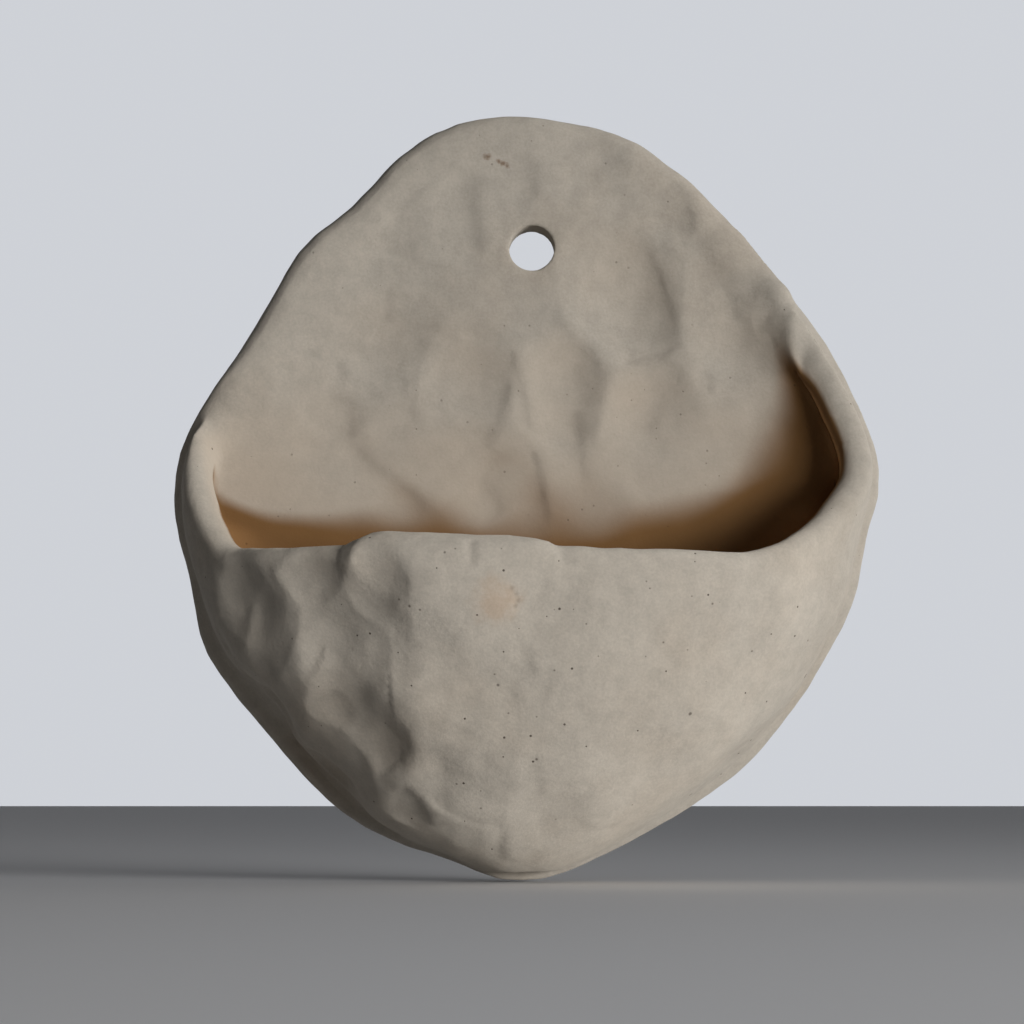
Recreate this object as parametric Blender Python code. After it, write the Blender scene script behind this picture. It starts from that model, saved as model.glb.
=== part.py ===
"""Hand-pinched clay wall pocket for an air plant, modelled in metres.

The origin is the middle of the hanging hole on the flat back face.  +X is to the right as the
pocket is looked at, -Y is forward, away from the wall, and +Z is up.  The pocket is built as a
potter builds it: a pinched back slab, a bowl-shaped front joined to it along a seam, a soft coil
pressed into the inside corner of that seam, and a lap of clay smoothed over the middle of the rim.
"""
import math
from bisect import bisect_left

import bmesh
import bpy
from mathutils import Vector

# Back slab
SLAB_WIDTH = 0.108
SLAB_HEIGHT = 0.1172
SLAB_THICKNESS = 0.007
FRONT_EDGE_ROUND = 0.0034
BACK_EDGE_ROUND = 0.0012
BARE_EDGE_BLEND = 0.0136

# Hanging hole, whose middle is the origin
HOLE_DIAMETER = 0.007
HOLE_BELOW_TOP = 0.0208
HOLE_RIGHT_OF_MIDDLE = 0.0008
HOLE_CUTTER_LENGTH = 0.028

# Bowl-shaped front, measured forward from the slab and down from the hole
POCKET_DEPTH = 0.0345
WALL_THICKNESS = 0.0048
SEAM_INSET = 0.0015
TIP_INSET = 0.0004
TIP_BLEND = 0.012
LEFT_LEDGE = 0.0014
RIM_BELOW_HOLE = 0.0498
RIM_FALL_TO_RIGHT = 0.0016
LIP_CROWN = 0.0022
CREST_RIGHT_OF_MIDDLE = 0.003

# The rim climbs the sides of the slab: a shoulder first, then a horn that tapers out
LEFT_SHOULDER_RISE = 0.0010
LEFT_HORN_RISE = 0.0230
LEFT_HORN_SPREAD = 0.5
RIGHT_SHOULDER_RISE = 0.0240
RIGHT_HORN_RISE = 0.0190
RIGHT_HORN_SPREAD = 0.35
SHOULDER_SPREAD = 0.87
SHOULDER_SWEEP = 1.2
HORN_SLANT = 0.0075
HORN_LIP_SHARE = 0.2
HORN_LIP_SPREAD = 0.25

# Lap of clay pressed over the middle of the rim
LAP_WIDTH = 0.0300
LAP_LEFT_OF_HOLE = 0.0115
LAP_BELOW_RIM = 0.0130
LAP_THICKNESS = 0.0022
LAP_FEATHER = 0.0004
LAP_THINNING = 0.6
LAP_RUNOUT = 0.7
LAP_FULLNESS = 3.0

# Coil pressed into the inside corner of the seam
COIL_DIAMETER = 0.004
COIL_BELOW_RIM = 0.006

# Gap left at every joint between two pieces
JOINT_GAP = 0.0003

# Fullness of the curved sections: 2 is an ellipse, more is squarer
LEFT_FULLNESS = 2.15
RIGHT_FULLNESS = 2.6
BELLY_FULLNESS = 1.85

# Facets
SHARP_ANGLE = math.radians(45.0)
LOWEST_ROW_ANGLE = math.radians(12.0)
COLUMN_CROWDING = 0.7
OUTLINE_STEPS = 96
FINE_STEPS = 384
SLAB_RINGS = 16
EDGE_STEPS = 3
WALL_COLUMNS = 60
WALL_ROWS = 20
LIP_STEPS = 6
LAP_STEPS = 36
LAP_RINGS = 7
HOLE_STEPS = 32
COIL_STEPS = 44
COIL_QUARTER_STEPS = 2

# Outline of the slab, clockwise from the top, as shares of half the width and of the height
OUTLINE = (
    (0.00, 1.000), (0.22, 0.985), (0.39, 0.944), (0.565, 0.868), (0.70, 0.786), (0.84, 0.702),
    (0.955, 0.600), (1.00, 0.520), (0.957, 0.442), (0.925, 0.362), (0.842, 0.286), (0.71, 0.195),
    (0.49, 0.102), (0.15, 0.019), (-0.045, 0.000), (-0.21, 0.024), (-0.49, 0.078), (-0.70, 0.174),
    (-0.89, 0.284), (-0.95, 0.382), (-1.00, 0.505), (-0.935, 0.604), (-0.80, 0.700), (-0.645, 0.822),
    (-0.50, 0.882), (-0.36, 0.950), (-0.20, 0.992),
)

# Fingertip presses: a fingertip's radius and the depth of a usual press
FINGERTIP = 0.0085
PRESS_DEPTH = 0.001

# Across from the hole in half widths, up from it in heights, then shares of the two sizes above
SLAB_PRESSES = (
    (0.250, -0.055, 1.24, 1.90), (0.315, -0.119, 0.94, 1.20), (0.093, -0.162, 0.88, 1.40),
    (0.102, -0.235, 0.82, 1.20), (-0.176, -0.171, 1.06, 1.50), (0.330, -0.213, 1.12, 1.50),
    (0.250, 0.081, 0.71, 1.00), (0.417, 0.038, 0.71, 1.10), (-0.426, -0.128, 1.18, 1.20),
    (-0.556, -0.256, 1.29, 1.20), (-0.204, 0.077, 1.00, 0.90), (0.574, -0.145, 1.00, 1.20),
    (-0.148, -0.299, 1.06, 1.10), (0.556, -0.256, 1.06, 0.90), (-0.463, 0.000, 0.82, 0.80),
)
POCKET_PRESSES = (
    (-0.778, -0.478, 1.00, 2.40), (-0.574, -0.512, 1.00, 2.30), (-0.722, -0.597, 0.94, 2.40),
    (-0.481, -0.631, 1.00, 2.20), (-0.370, -0.546, 0.88, 1.50), (-0.204, -0.589, 1.00, 1.40),
    (-0.241, -0.700, 0.94, 1.60), (-0.019, -0.589, 0.94, 1.20), (0.019, -0.725, 0.94, 1.00),
    (0.019, -0.478, 1.06, 1.10), (0.333, -0.546, 1.53, 1.00), (0.593, -0.546, 1.29, 1.00),
    (0.315, -0.683, 1.29, 1.00), (0.778, -0.444, 1.06, 1.00), (-0.574, -0.700, 0.82, 1.60),
    (0.556, -0.666, 0.94, 1.00),
)

CLAY_COLOUR = (0.55, 0.47, 0.38, 1.0)
SLIP_COLOUR = (0.50, 0.42, 0.33, 1.0)
CLAY_ROUGHNESS = 0.9


def clear_scene():
    for item in list(bpy.data.objects):
        bpy.data.objects.remove(item, do_unlink=True)


def new_collection(name):
    collection = bpy.data.collections.new(name)
    bpy.context.scene.collection.children.link(collection)
    return collection


def clay_material(name, colour):
    material = bpy.data.materials.new(name)
    material.use_nodes = True
    shader = material.node_tree.nodes["Principled BSDF"]
    shader.inputs["Base Color"].default_value = colour
    shader.inputs["Roughness"].default_value = CLAY_ROUGHNESS
    shader.inputs["Metallic"].default_value = 0.0
    return material


def finish_mesh(bm, name, collection, colour):
    """Turn a bmesh into a smooth-shaded object with its own clay material."""
    bmesh.ops.recalc_face_normals(bm, faces=bm.faces)
    mesh = bpy.data.meshes.new(name)
    bm.to_mesh(mesh)
    bm.free()
    mesh.shade_smooth()
    item = bpy.data.objects.new(name, mesh)
    item.data.materials.append(clay_material(name + "_clay", colour))
    collection.objects.link(item)
    return item


def skin(bm, rows, closed=False):
    """Join rows of vertices of equal length with quads, as a loft does."""
    for row, after in zip(rows, rows[1:]):
        count = len(row)
        for i in range(count if closed else count - 1):
            j = (i + 1) % count
            bm.faces.new((row[i], row[j], after[j], after[i]))


def smooth_step(share):
    """Ease from 0 to 1 with level ends."""
    share = min(1.0, max(0.0, share))
    return share * share * (3.0 - 2.0 * share)


def rounded(share, fullness):
    """Quarter of a superellipse: 1 at share 0, 0 at share 1."""
    return (1.0 - min(1.0, share) ** fullness) ** (1.0 / fullness)


def press_depth(distance, fingertips, presses):
    """Smooth fingertip press: deepest in the middle, nothing from the radius outward."""
    radius = fingertips * FINGERTIP
    if distance >= radius:
        return 0.0
    return presses * PRESS_DEPTH * math.cos(math.pi / 2 * distance / radius) ** 2


def press_place(across, up):
    """Middle of a press, as a point (x, z), from its shares of the slab's size."""
    return Vector((across * SLAB_WIDTH / 2, up * SLAB_HEIGHT))


def catmull_rom(before, start, end, after, share):
    """Point on the smooth curve between start and end."""
    return 0.5 * (
        2.0 * start
        + (end - before) * share
        + (2.0 * before - 5.0 * start + 4.0 * end - after) * share ** 2
        + (3.0 * start - before - 3.0 * end + after) * share ** 3
    )


def slab_outline(count):
    """The slab's outline as evenly spaced points (x, z), clockwise from the top."""
    corners = [
        Vector((across * SLAB_WIDTH / 2 - HOLE_RIGHT_OF_MIDDLE,
                HOLE_BELOW_TOP + (up - 1.0) * SLAB_HEIGHT))
        for across, up in OUTLINE
    ]
    total = len(corners)
    steps = FINE_STEPS // total
    fine = []
    for i in range(total):
        near = [corners[(i + k) % total] for k in (-1, 0, 1, 2)]
        fine += [catmull_rom(*near, step / steps) for step in range(steps)]
    return even_points(fine, count)


def even_points(loop, count):
    """Resample a closed polyline at equal distances along it."""
    closed = loop + loop[:1]
    reach = [0.0]
    for a, b in zip(closed, closed[1:]):
        reach.append(reach[-1] + (b - a).length)
    points = []
    for i in range(count):
        goal = reach[-1] * i / count
        k = max(1, bisect_left(reach, goal))
        share = (goal - reach[k - 1]) / (reach[k] - reach[k - 1])
        points.append(closed[k - 1].lerp(closed[k], share))
    return points


def inset(loop, distances):
    """Move each point of a clockwise outline inward along its normal."""
    count = len(loop)
    moved = []
    for i, point in enumerate(loop):
        along = (loop[(i + 1) % count] - loop[i - 1]).normalized()
        moved.append(point + Vector((along.y, -along.x)) * distances[i])
    return moved


def seam_inset(point):
    """How far the wall stands inside the slab's edge: a wider ledge on the left, none at the tip."""
    tip = HOLE_BELOW_TOP - SLAB_HEIGHT
    above = point.y - tip
    share = above / (-RIM_BELOW_HOLE - tip)
    ledge = SEAM_INSET
    if point.x < 0.0 and 0.0 < share < 1.0:
        ledge += LEFT_LEDGE * math.sin(math.pi * share)
    return TIP_INSET + (ledge - TIP_INSET) * smooth_step(above / TIP_BLEND)


def seam_plane():
    """The y of the flat face by which the front pieces sit on the slab."""
    return -SLAB_THICKNESS - JOINT_GAP


def front_edge_round(point):
    """The slab's front edge is soft where it is bare and tight where the wall stands on it."""
    rise = LEFT_SHOULDER_RISE + LEFT_HORN_RISE
    if point.x > 0.0:
        rise = RIGHT_SHOULDER_RISE + RIGHT_HORN_RISE
    above = point.y + RIM_BELOW_HOLE - rise
    bare = smooth_step(above / BARE_EDGE_BLEND)
    tight = min(SEAM_INSET, seam_inset(point))
    return tight + (FRONT_EDGE_ROUND - tight) * bare


def pressed_front(point, outline):
    """The y of the slab's front face: pressed in by fingertips, flat under the seam."""
    border = min((point - other).length for other in outline)
    footprint = seam_inset(point) + WALL_THICKNESS
    clear = smooth_step((border - footprint) / WALL_THICKNESS)
    depth = sum(
        press_depth((point - press_place(across, up)).length, radius, press)
        for across, up, radius, press in SLAB_PRESSES
    )
    return -SLAB_THICKNESS + depth * clear


def make_slab(collection, cutters):
    """Pinched slab: flat back, rounded edge and a front of rings that draw in to the middle."""
    outline = slab_outline(OUTLINE_STEPS)
    middle = sum(outline, Vector((0.0, 0.0))) / OUTLINE_STEPS
    rounds = [front_edge_round(point) for point in outline]
    bm = bmesh.new()
    rings = []
    for step in range(EDGE_STEPS + 1):
        turn = math.pi / 2 * step / EDGE_STEPS
        loop = inset(outline, [BACK_EDGE_ROUND * (1.0 - math.sin(turn))] * OUTLINE_STEPS)
        y = -BACK_EDGE_ROUND * (1.0 - math.cos(turn))
        rings.append([bm.verts.new((p.x, y, p.y)) for p in loop])
    for step in range(EDGE_STEPS + 1):
        turn = math.pi / 2 * step / EDGE_STEPS
        loop = inset(outline, [r * (1.0 - math.cos(turn)) for r in rounds])
        ring = []
        for p, r in zip(loop, rounds):
            ring.append(bm.verts.new((p.x, -SLAB_THICKNESS + r * (1.0 - math.sin(turn)), p.y)))
        rings.append(ring)
    border = inset(outline, rounds)
    for step in range(1, SLAB_RINGS):
        loop = [point.lerp(middle, step / SLAB_RINGS) for point in border]
        rings.append([bm.verts.new((p.x, pressed_front(p, outline), p.y)) for p in loop])
    skin(bm, rings, closed=True)
    bm.faces.new(rings[0])
    cap = bm.faces.new(rings[-1])
    bmesh.ops.poke(bm, faces=[cap])
    slab = finish_mesh(bm, "back_slab", collection, CLAY_COLOUR)
    cut_hole(slab, cutters)
    return slab


def cut_hole(slab, cutters):
    bpy.ops.mesh.primitive_cylinder_add(
        vertices=HOLE_STEPS, radius=HOLE_DIAMETER / 2, depth=HOLE_CUTTER_LENGTH,
        rotation=(math.pi / 2, 0.0, 0.0))
    cutter = bpy.context.object
    cutter.name = "hanging_hole_cutter"
    for owner in list(cutter.users_collection):
        owner.objects.unlink(cutter)
    cutters.objects.link(cutter)
    cutter.hide_render = True
    cutter.display_type = "WIRE"
    cut = slab.modifiers.new("hanging_hole", "BOOLEAN")
    cut.operation = "DIFFERENCE"
    cut.solver = "EXACT"
    cut.object = cutter
    whole = slab.evaluated_get(bpy.context.evaluated_depsgraph_get())
    pierced = bpy.data.meshes.new_from_object(whole)
    pierced.set_sharp_from_angle(angle=SHARP_ANGLE)
    slab.modifiers.clear()
    slab.data = pierced


def section(turn):
    """Forward and sideways shares of a D section at an angle from left (0) to right (pi)."""
    fullness = LEFT_FULLNESS if turn < math.pi / 2 else RIGHT_FULLNESS
    forward = abs(math.sin(turn)) ** (2.0 / fullness)
    sideways = abs(math.cos(turn)) ** (2.0 / fullness)
    return forward, -sideways if turn < math.pi / 2 else sideways


def rim_height(turn, slant):
    """The rim is level in front and climbs each side of the slab, the inner skin a slant less."""
    forward, sideways = section(turn)
    if turn < math.pi / 2:
        shoulder, horn, spread = LEFT_SHOULDER_RISE, LEFT_HORN_RISE, LEFT_HORN_SPREAD
    else:
        shoulder, horn, spread = RIGHT_SHOULDER_RISE, RIGHT_HORN_RISE, RIGHT_HORN_SPREAD
    rise = shoulder * max(0.0, 1.0 - forward / SHOULDER_SPREAD) ** SHOULDER_SWEEP
    rise += (horn - slant) * (1.0 - smooth_step(forward / spread))
    return rise - RIM_BELOW_HOLE - RIM_FALL_TO_RIGHT * (1.0 + sideways) / 2


class Bowl:
    """One skin of the bowl-shaped front: D sections that shrink downward to a blunt point."""

    def __init__(self, inward, depth, slant):
        outline = slab_outline(FINE_STEPS)
        loop = inset(outline, [seam_inset(point) + inward for point in outline])
        heights = [p.y for p in loop]
        top = heights.index(max(heights))
        loop = loop[top:] + loop[:top]
        heights = [p.y for p in loop]
        low = heights.index(min(heights))
        self.right = loop[low::-1]
        self.left = loop[low:]
        self.point = heights[low]
        self.depth = depth
        self.slant = slant
        self.rim_width = self.side(self.right, -RIM_BELOW_HOLE) - self.side(
            self.left, -RIM_BELOW_HOLE)

    def side(self, chain, height):
        """Where one side of the outline, which runs upward, reaches a height."""
        k = next((i for i, p in enumerate(chain) if p.y > height), len(chain) - 1)
        k = max(1, k)
        a, b = chain[k - 1], chain[k]
        share = min(1.0, max(0.0, (height - a.y) / (b.y - a.y)))
        return a.x + (b.x - a.x) * share

    def place(self, turn, down):
        """Point at an angle round the section and a share of the way down from the rim."""
        forward, reach = section(turn)
        top = rim_height(turn, self.slant)
        height = top + (self.point - top) * down
        left = self.side(self.left, height)
        right = self.side(self.right, height)
        shrink = (right - left) / self.rim_width
        crest = (left + right) / 2 + CREST_RIGHT_OF_MIDDLE * shrink
        breadth = right - crest if reach > 0.0 else crest - left
        drop = max(0.0, -RIM_BELOW_HOLE - height) / (-RIM_BELOW_HOLE - self.point)
        out = self.depth * rounded(drop, BELLY_FULLNESS) * forward
        return Vector((crest + breadth * reach, seam_plane() - out, height))


def column_turns():
    """Angles of the wall's columns, closer together towards the two horns."""
    shares = [i / WALL_COLUMNS for i in range(WALL_COLUMNS + 1)]
    return [math.pi * s - COLUMN_CROWDING / 2 * math.sin(2 * math.pi * s) for s in shares]


def wall_grid():
    """Rows of points over the wall: up the outside, over the lip and down the inside."""
    outer = Bowl(0.0, POCKET_DEPTH, 0.0)
    inner = Bowl(WALL_THICKNESS, POCKET_DEPTH - WALL_THICKNESS, HORN_SLANT)
    sweep = math.pi / 2 - LOWEST_ROW_ANGLE
    downs = [
        math.cos(LOWEST_ROW_ANGLE + sweep * row / WALL_ROWS)
        for row in range(WALL_ROWS + 1)
    ]
    turns = column_turns()
    outside = [[outer.place(turn, down) for turn in turns] for down in downs]
    inside = [[inner.place(turn, down) for turn in turns] for down in downs]
    press_outside(outside)
    return outside + lip_rows(outside[-1], inside[-1], turns) + inside[::-1]


def press_outside(rows):
    """Push the outer skin in under each fingertip, but not where it meets the slab."""
    aim = Vector((0.0, seam_plane(), -RIM_BELOW_HOLE))
    points = [point for row in rows for point in row[1:-1]]
    for across, up, radius, press in POCKET_PRESSES:
        goal = press_place(across, up)
        middle = min(points, key=lambda p: math.hypot(p.x - goal.x, p.z - goal.y)).copy()
        for point in points:
            clear = smooth_step((seam_plane() - point.y) / WALL_THICKNESS)
            push = press_depth((point - middle).length, radius, press) * clear
            point += (aim - point).normalized() * push


def lip_rows(outer_edge, inner_edge, turns):
    """Half-round rows over the wall's top edge, square to the rim and lower along the horns."""
    last = len(outer_edge) - 1
    rows = [[] for _ in range(LIP_STEPS - 1)]
    for i, (a, b) in enumerate(zip(outer_edge, inner_edge)):
        middle = (a + b) / 2
        across = (a - b) / 2
        along = outer_edge[min(i + 1, last)] - outer_edge[max(i - 1, 0)]
        front = smooth_step(section(turns[i])[0] / HORN_LIP_SPREAD)
        share = HORN_LIP_SHARE + (1.0 - HORN_LIP_SHARE) * front
        crown = across.cross(along).normalized() * LIP_CROWN * share
        if i in (0, last):
            crown = Vector((0.0, 0.0, LIP_CROWN * HORN_LIP_SHARE))
        for step, row in enumerate(rows, start=1):
            turn = math.pi * step / LIP_STEPS
            row.append(middle + across * math.cos(turn) + crown * math.sin(turn))
    return rows


def make_pocket(collection, grid):
    """Bowl-shaped wall with a rounded lip and a flat seam face that sits on the slab."""
    bm = bmesh.new()
    rows = [[bm.verts.new(p) for p in row] for row in grid]
    skin(bm, rows)
    for end in (0, -1):
        edge = [row[end] for row in rows]
        half = len(edge) // 2
        skin(bm, [edge[:half], edge[::-1][:half]])
        bm.faces.new(edge[half - 1:half + 2])
    bm.faces.new(rows[0])
    bm.faces.new(rows[-1])
    bm.faces.new((rows[0][0], rows[0][-1], rows[-1][-1], rows[-1][0]))
    return finish_mesh(bm, "front_pocket", collection, CLAY_COLOUR)


def locate(values, goal):
    """Fractional place of a goal in a rising list."""
    k = min(len(values) - 1, max(1, bisect_left(values, goal)))
    return k - 1 + (goal - values[k - 1]) / (values[k] - values[k - 1])


def between(items, place):
    """Item at a fractional place in a list of vectors."""
    k = min(len(items) - 2, int(place))
    return items[k].lerp(items[k + 1], place - k)


def on_wall(grid, x, down):
    """Point and outward normal on the wall at an x and a distance down from the lip's crest."""
    crest = len(grid) // 2
    column = locate([p.x for p in grid[crest]], x)
    profile = [between(row, column) for row in grid]
    reach = [0.0]
    for a, b in zip(profile, profile[1:]):
        reach.append(reach[-1] + (b - a).length)
    row = locate(reach, reach[crest] - down)
    k = min(len(profile) - 2, int(row))
    upward = profile[k + 1] - profile[k]
    rightward = between(grid[k], column + 1.0) - between(grid[k], column - 1.0)
    return between(profile, row), rightward.cross(upward).normalized()


def make_lap(collection, grid):
    """Lap of clay pressed over the rim: raised at its left edge and thinned to its right."""
    inside_reach = WALL_THICKNESS
    half_width = LAP_WIDTH / 2
    half_drop = (LAP_BELOW_RIM + inside_reach) / 2
    bm = bmesh.new()

    def pair(share, turn):
        across = share * math.cos(turn)
        down = half_drop * (1.0 + share * math.sin(turn)) - inside_reach
        place, out = on_wall(grid, across * half_width - LAP_LEFT_OF_HOLE, down)
        left_heavy = 1.0 - LAP_THINNING * smooth_step((across + 1.0) / 2)
        run_out = 1.0 - LAP_RUNOUT * smooth_step(share * math.sin(turn))
        swell = rounded(share, LAP_FULLNESS) * left_heavy * run_out
        thick = LAP_FEATHER + (LAP_THICKNESS - LAP_FEATHER) * swell
        below = bm.verts.new(place + out * JOINT_GAP)
        return below, bm.verts.new(place + out * (JOINT_GAP + thick))

    middle = pair(0.0, 0.0)
    rings = []
    for ring in range(1, LAP_RINGS + 1):
        turns = [2 * math.pi * step / LAP_STEPS for step in range(LAP_STEPS)]
        pairs = [pair(ring / LAP_RINGS, turn) for turn in turns]
        rings.append(list(zip(*pairs)))
    for side in (0, 1):
        loops = [ring[side] for ring in rings]
        skin(bm, loops, closed=True)
        for i, vertex in enumerate(loops[0]):
            bm.faces.new((vertex, loops[0][(i + 1) % LAP_STEPS], middle[side]))
    skin(bm, rings[-1], closed=True)
    return finish_mesh(bm, "rim_lap", collection, SLIP_COLOUR)


def make_coil(collection):
    """Soft coil in the inside corner of the seam, from side to side round the point."""
    radius = COIL_DIAMETER / 2
    share = (JOINT_GAP + COIL_DIAMETER) / (POCKET_DEPTH - WALL_THICKNESS)
    lean = SLAB_HEIGHT / 2 * (1.0 - rounded(share, BELLY_FULLNESS))
    inward = WALL_THICKNESS + JOINT_GAP + radius + lean
    outline = slab_outline(FINE_STEPS)
    path = inset(outline, [seam_inset(point) + inward for point in outline])
    top = -RIM_BELOW_HOLE - COIL_BELOW_RIM
    run = [p for p in path if p.y < top]
    curve = bpy.data.curves.new("seam_coil", "CURVE")
    curve.dimensions = "3D"
    curve.bevel_depth = radius
    curve.bevel_resolution = COIL_QUARTER_STEPS
    curve.use_fill_caps = True
    spline = curve.splines.new("POLY")
    spline.points.add(COIL_STEPS)
    for i in range(COIL_STEPS + 1):
        place = run[round((len(run) - 1) * i / COIL_STEPS)]
        spline.points[i].co = (place.x, seam_plane() - radius, place.y, 1.0)
    coil = bpy.data.objects.new("seam_coil", curve)
    coil.data.materials.append(clay_material("seam_coil_clay", SLIP_COLOUR))
    collection.objects.link(coil)
    return coil


def main():
    clear_scene()
    parts = new_collection("wall_air_plant_holder")
    cutters = new_collection("cutters")
    grid = wall_grid()
    make_slab(parts, cutters)
    make_pocket(parts, grid)
    make_lap(parts, grid)
    make_coil(parts)


main()
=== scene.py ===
"""Hand-pinched clay wall pocket for an air plant, dressed for a plain studio picture."""

import math

import bmesh
import bpy
import numpy as np
from bpy.props import FloatProperty, FloatVectorProperty, PointerProperty
from bpy.types import Operator, Panel, PropertyGroup
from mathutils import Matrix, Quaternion, Vector, noise
from mathutils.bvhtree import BVHTree


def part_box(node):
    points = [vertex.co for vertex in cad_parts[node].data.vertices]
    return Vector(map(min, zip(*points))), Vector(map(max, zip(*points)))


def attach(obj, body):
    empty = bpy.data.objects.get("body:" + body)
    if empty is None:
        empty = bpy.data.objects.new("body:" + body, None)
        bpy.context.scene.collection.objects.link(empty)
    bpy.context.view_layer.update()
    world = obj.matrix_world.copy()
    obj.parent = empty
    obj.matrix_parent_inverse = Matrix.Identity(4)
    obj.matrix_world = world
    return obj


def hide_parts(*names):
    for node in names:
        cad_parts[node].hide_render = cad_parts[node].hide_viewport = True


bl_info = {
    "name": "Clay Wall Pocket",
    "version": (1, 0, 0),
    "blender": (4, 5, 0),
    "location": "View3D > Sidebar > Wall Pocket",
    "description": "Builds a hand-pinched unglazed clay wall pocket and its studio",
    "category": "Add Mesh",
}

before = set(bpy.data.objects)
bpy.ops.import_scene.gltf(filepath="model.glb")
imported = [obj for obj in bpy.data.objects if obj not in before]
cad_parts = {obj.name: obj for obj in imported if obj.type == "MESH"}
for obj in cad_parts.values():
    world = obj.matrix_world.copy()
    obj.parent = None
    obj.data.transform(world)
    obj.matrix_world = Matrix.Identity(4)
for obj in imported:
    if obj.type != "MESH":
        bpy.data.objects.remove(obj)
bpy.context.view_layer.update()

NODES = ("back_slab", "front_pocket", "rim_lap", "seam_coil")
SLAB_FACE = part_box("back_slab")[0][1]
SLAB_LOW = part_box("back_slab")[0][2]
MM = 0.001

# Marks on the faces of the wet clay: their side of the seam, and what lies over them there
SLAB, POCKET = 0, 1
BARE, LAP, COIL = 0, 1, 2
COVERS = {"rim_lap": LAP, "seam_coil": COIL}

# How strongly the specks show on each piece. The stain and the single specks are on the pieces
# from SPECKLED_FRONT up, and the brown mark is on the pieces below it
SPECKLED = {"back_slab": 0.3, "front_pocket": 0.8, "rim_lap": 0.8, "seam_coil": 0.3}
SPECKLED_FRONT = 0.6

# Places and clearances in metres
BEFORE_THE_CLAY = -0.2
TO_THE_WALL = Vector((0.0, 1.0, 0.0))
POCKET_MIDDLE = Vector((-0.001, -0.018, -0.052))
SAME_PLACE = 1e-6
SEAM_CLEARANCE = 0.00015
NEAR_COVER = 0.00035
TUCK = 0.00001
FLOOR_GAP = 0.0002

# Metres round the hanging hole: its rounded edge, how far the painted shade and bounce light and
# the waves stay off it, and the width in which they come back
HOLE_EDGE = 0.0012
NO_PAINTED_SHADE = 0.0007
NO_WAVES = 0.0003
COME_BACK = 0.003

# How often the kneaded skin is stroked, and the most faces that a crumb of a cut piece can have
KNEAD_STROKES = 6
CRUMB = 50

# Lips left by the fingertips, in millimetres, seen from the front with the hanging hole as the
# zero point. Each is a line where the clay steps up to the left of the line's direction: rise
# (less than zero steps down), half width of the step, reach of its soft sides, points of the line
SLAB_LIPS = (
    (0.25, 0.8, 5, ((18, 2), (19, -2.5), (20.5, -7), (22, -11.5), (23.5, -15))),
    (0.3, 1.2, 5, ((7.5, 2.5), (7, -2.5), (6, -7.5), (4.5, -13))),
    (0.45, 0.5, 4, ((-3, -15.5), (-2, -19.5), (-1, -23.5), (-0.5, -28))),
    (0.45, 0.5, 4, ((0, -31), (1.5, -34.5), (2, -38), (2.5, -42.5))),
    (0.2, 0.8, 4, ((9, -15), (10.5, -19), (11, -23), (10, -28))),
    (0.45, 0.9, 4, ((7, -24.5), (7.5, -29.5), (8.5, -36.5))),
    (0.35, 0.8, 4, ((-3, -20.5), (-4, -24), (-5.5, -27.5), (-7.5, -30.5))),
    (0.5, 1.5, 6, ((10, 17), (14, 14), (16, 10.5), (15, 6))),
    (0.4, 0.9, 4, ((21, 12), (23, 9), (24.5, 5), (24.5, 2), (22.5, 0.5))),
    (0.9, 4, 11, ((27, 3), (30, -5), (32, -14), (33, -24))),
    (0.8, 1.5, 5, ((25.5, 2), (28, -2.5), (32, -5), (35, -7), (38, -10))),
    (0.4, 1, 3.5, ((29, -6), (31, -8), (31, -11))),
    (0.6, 1, 2.5, ((27, -19), (27.5, -22.5))),
    (0.6, 1.5, 5, ((23.5, -18.5), (21.5, -22.5), (19, -24.5), (18, -29.5))),
    (0.45, 0.7, 2, ((-29, -17.5), (-28, -20.5))),
    (0.7, 1, 5, ((-28.5, -29.5), (-26, -31.5), (-22.5, -34.5), (-19.5, -36), (-17, -38),
                 (-15, -41.5))),
    (0.35, 0.6, 2, ((-21.5, -6.5), (-21.5, -9), (-22, -12))),
    (0.35, 1, 4, ((-24, -13.5), (-21, -16), (-19.5, -20.5), (-19, -23.5))),
    (0.35, 1, 4, ((-16, -13.5), (-17, -18), (-18, -24.5), (-19.5, -31.5))),
    (0.7, 1.5, 5, ((-27, -23), (-27.5, -29.5))),
    (0.9, 2, 5, ((1.5, 14), (0.5, 7.5))),
    (0.7, 1.5, 5, ((-8, 12), (-9, 7.5), (-8, -1.5))),
    (0.9, 2.5, 7, ((-20, 6.5), (-17.5, 3.5), (-18.5, -2.5))),
    (0.45, 0.9, 4, ((-8, -35.5), (-5.5, -38), (-4, -41))),
    (0.7, 2, 7, ((-11.5, -13), (-13, -19), (-14, -28))),
)
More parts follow.
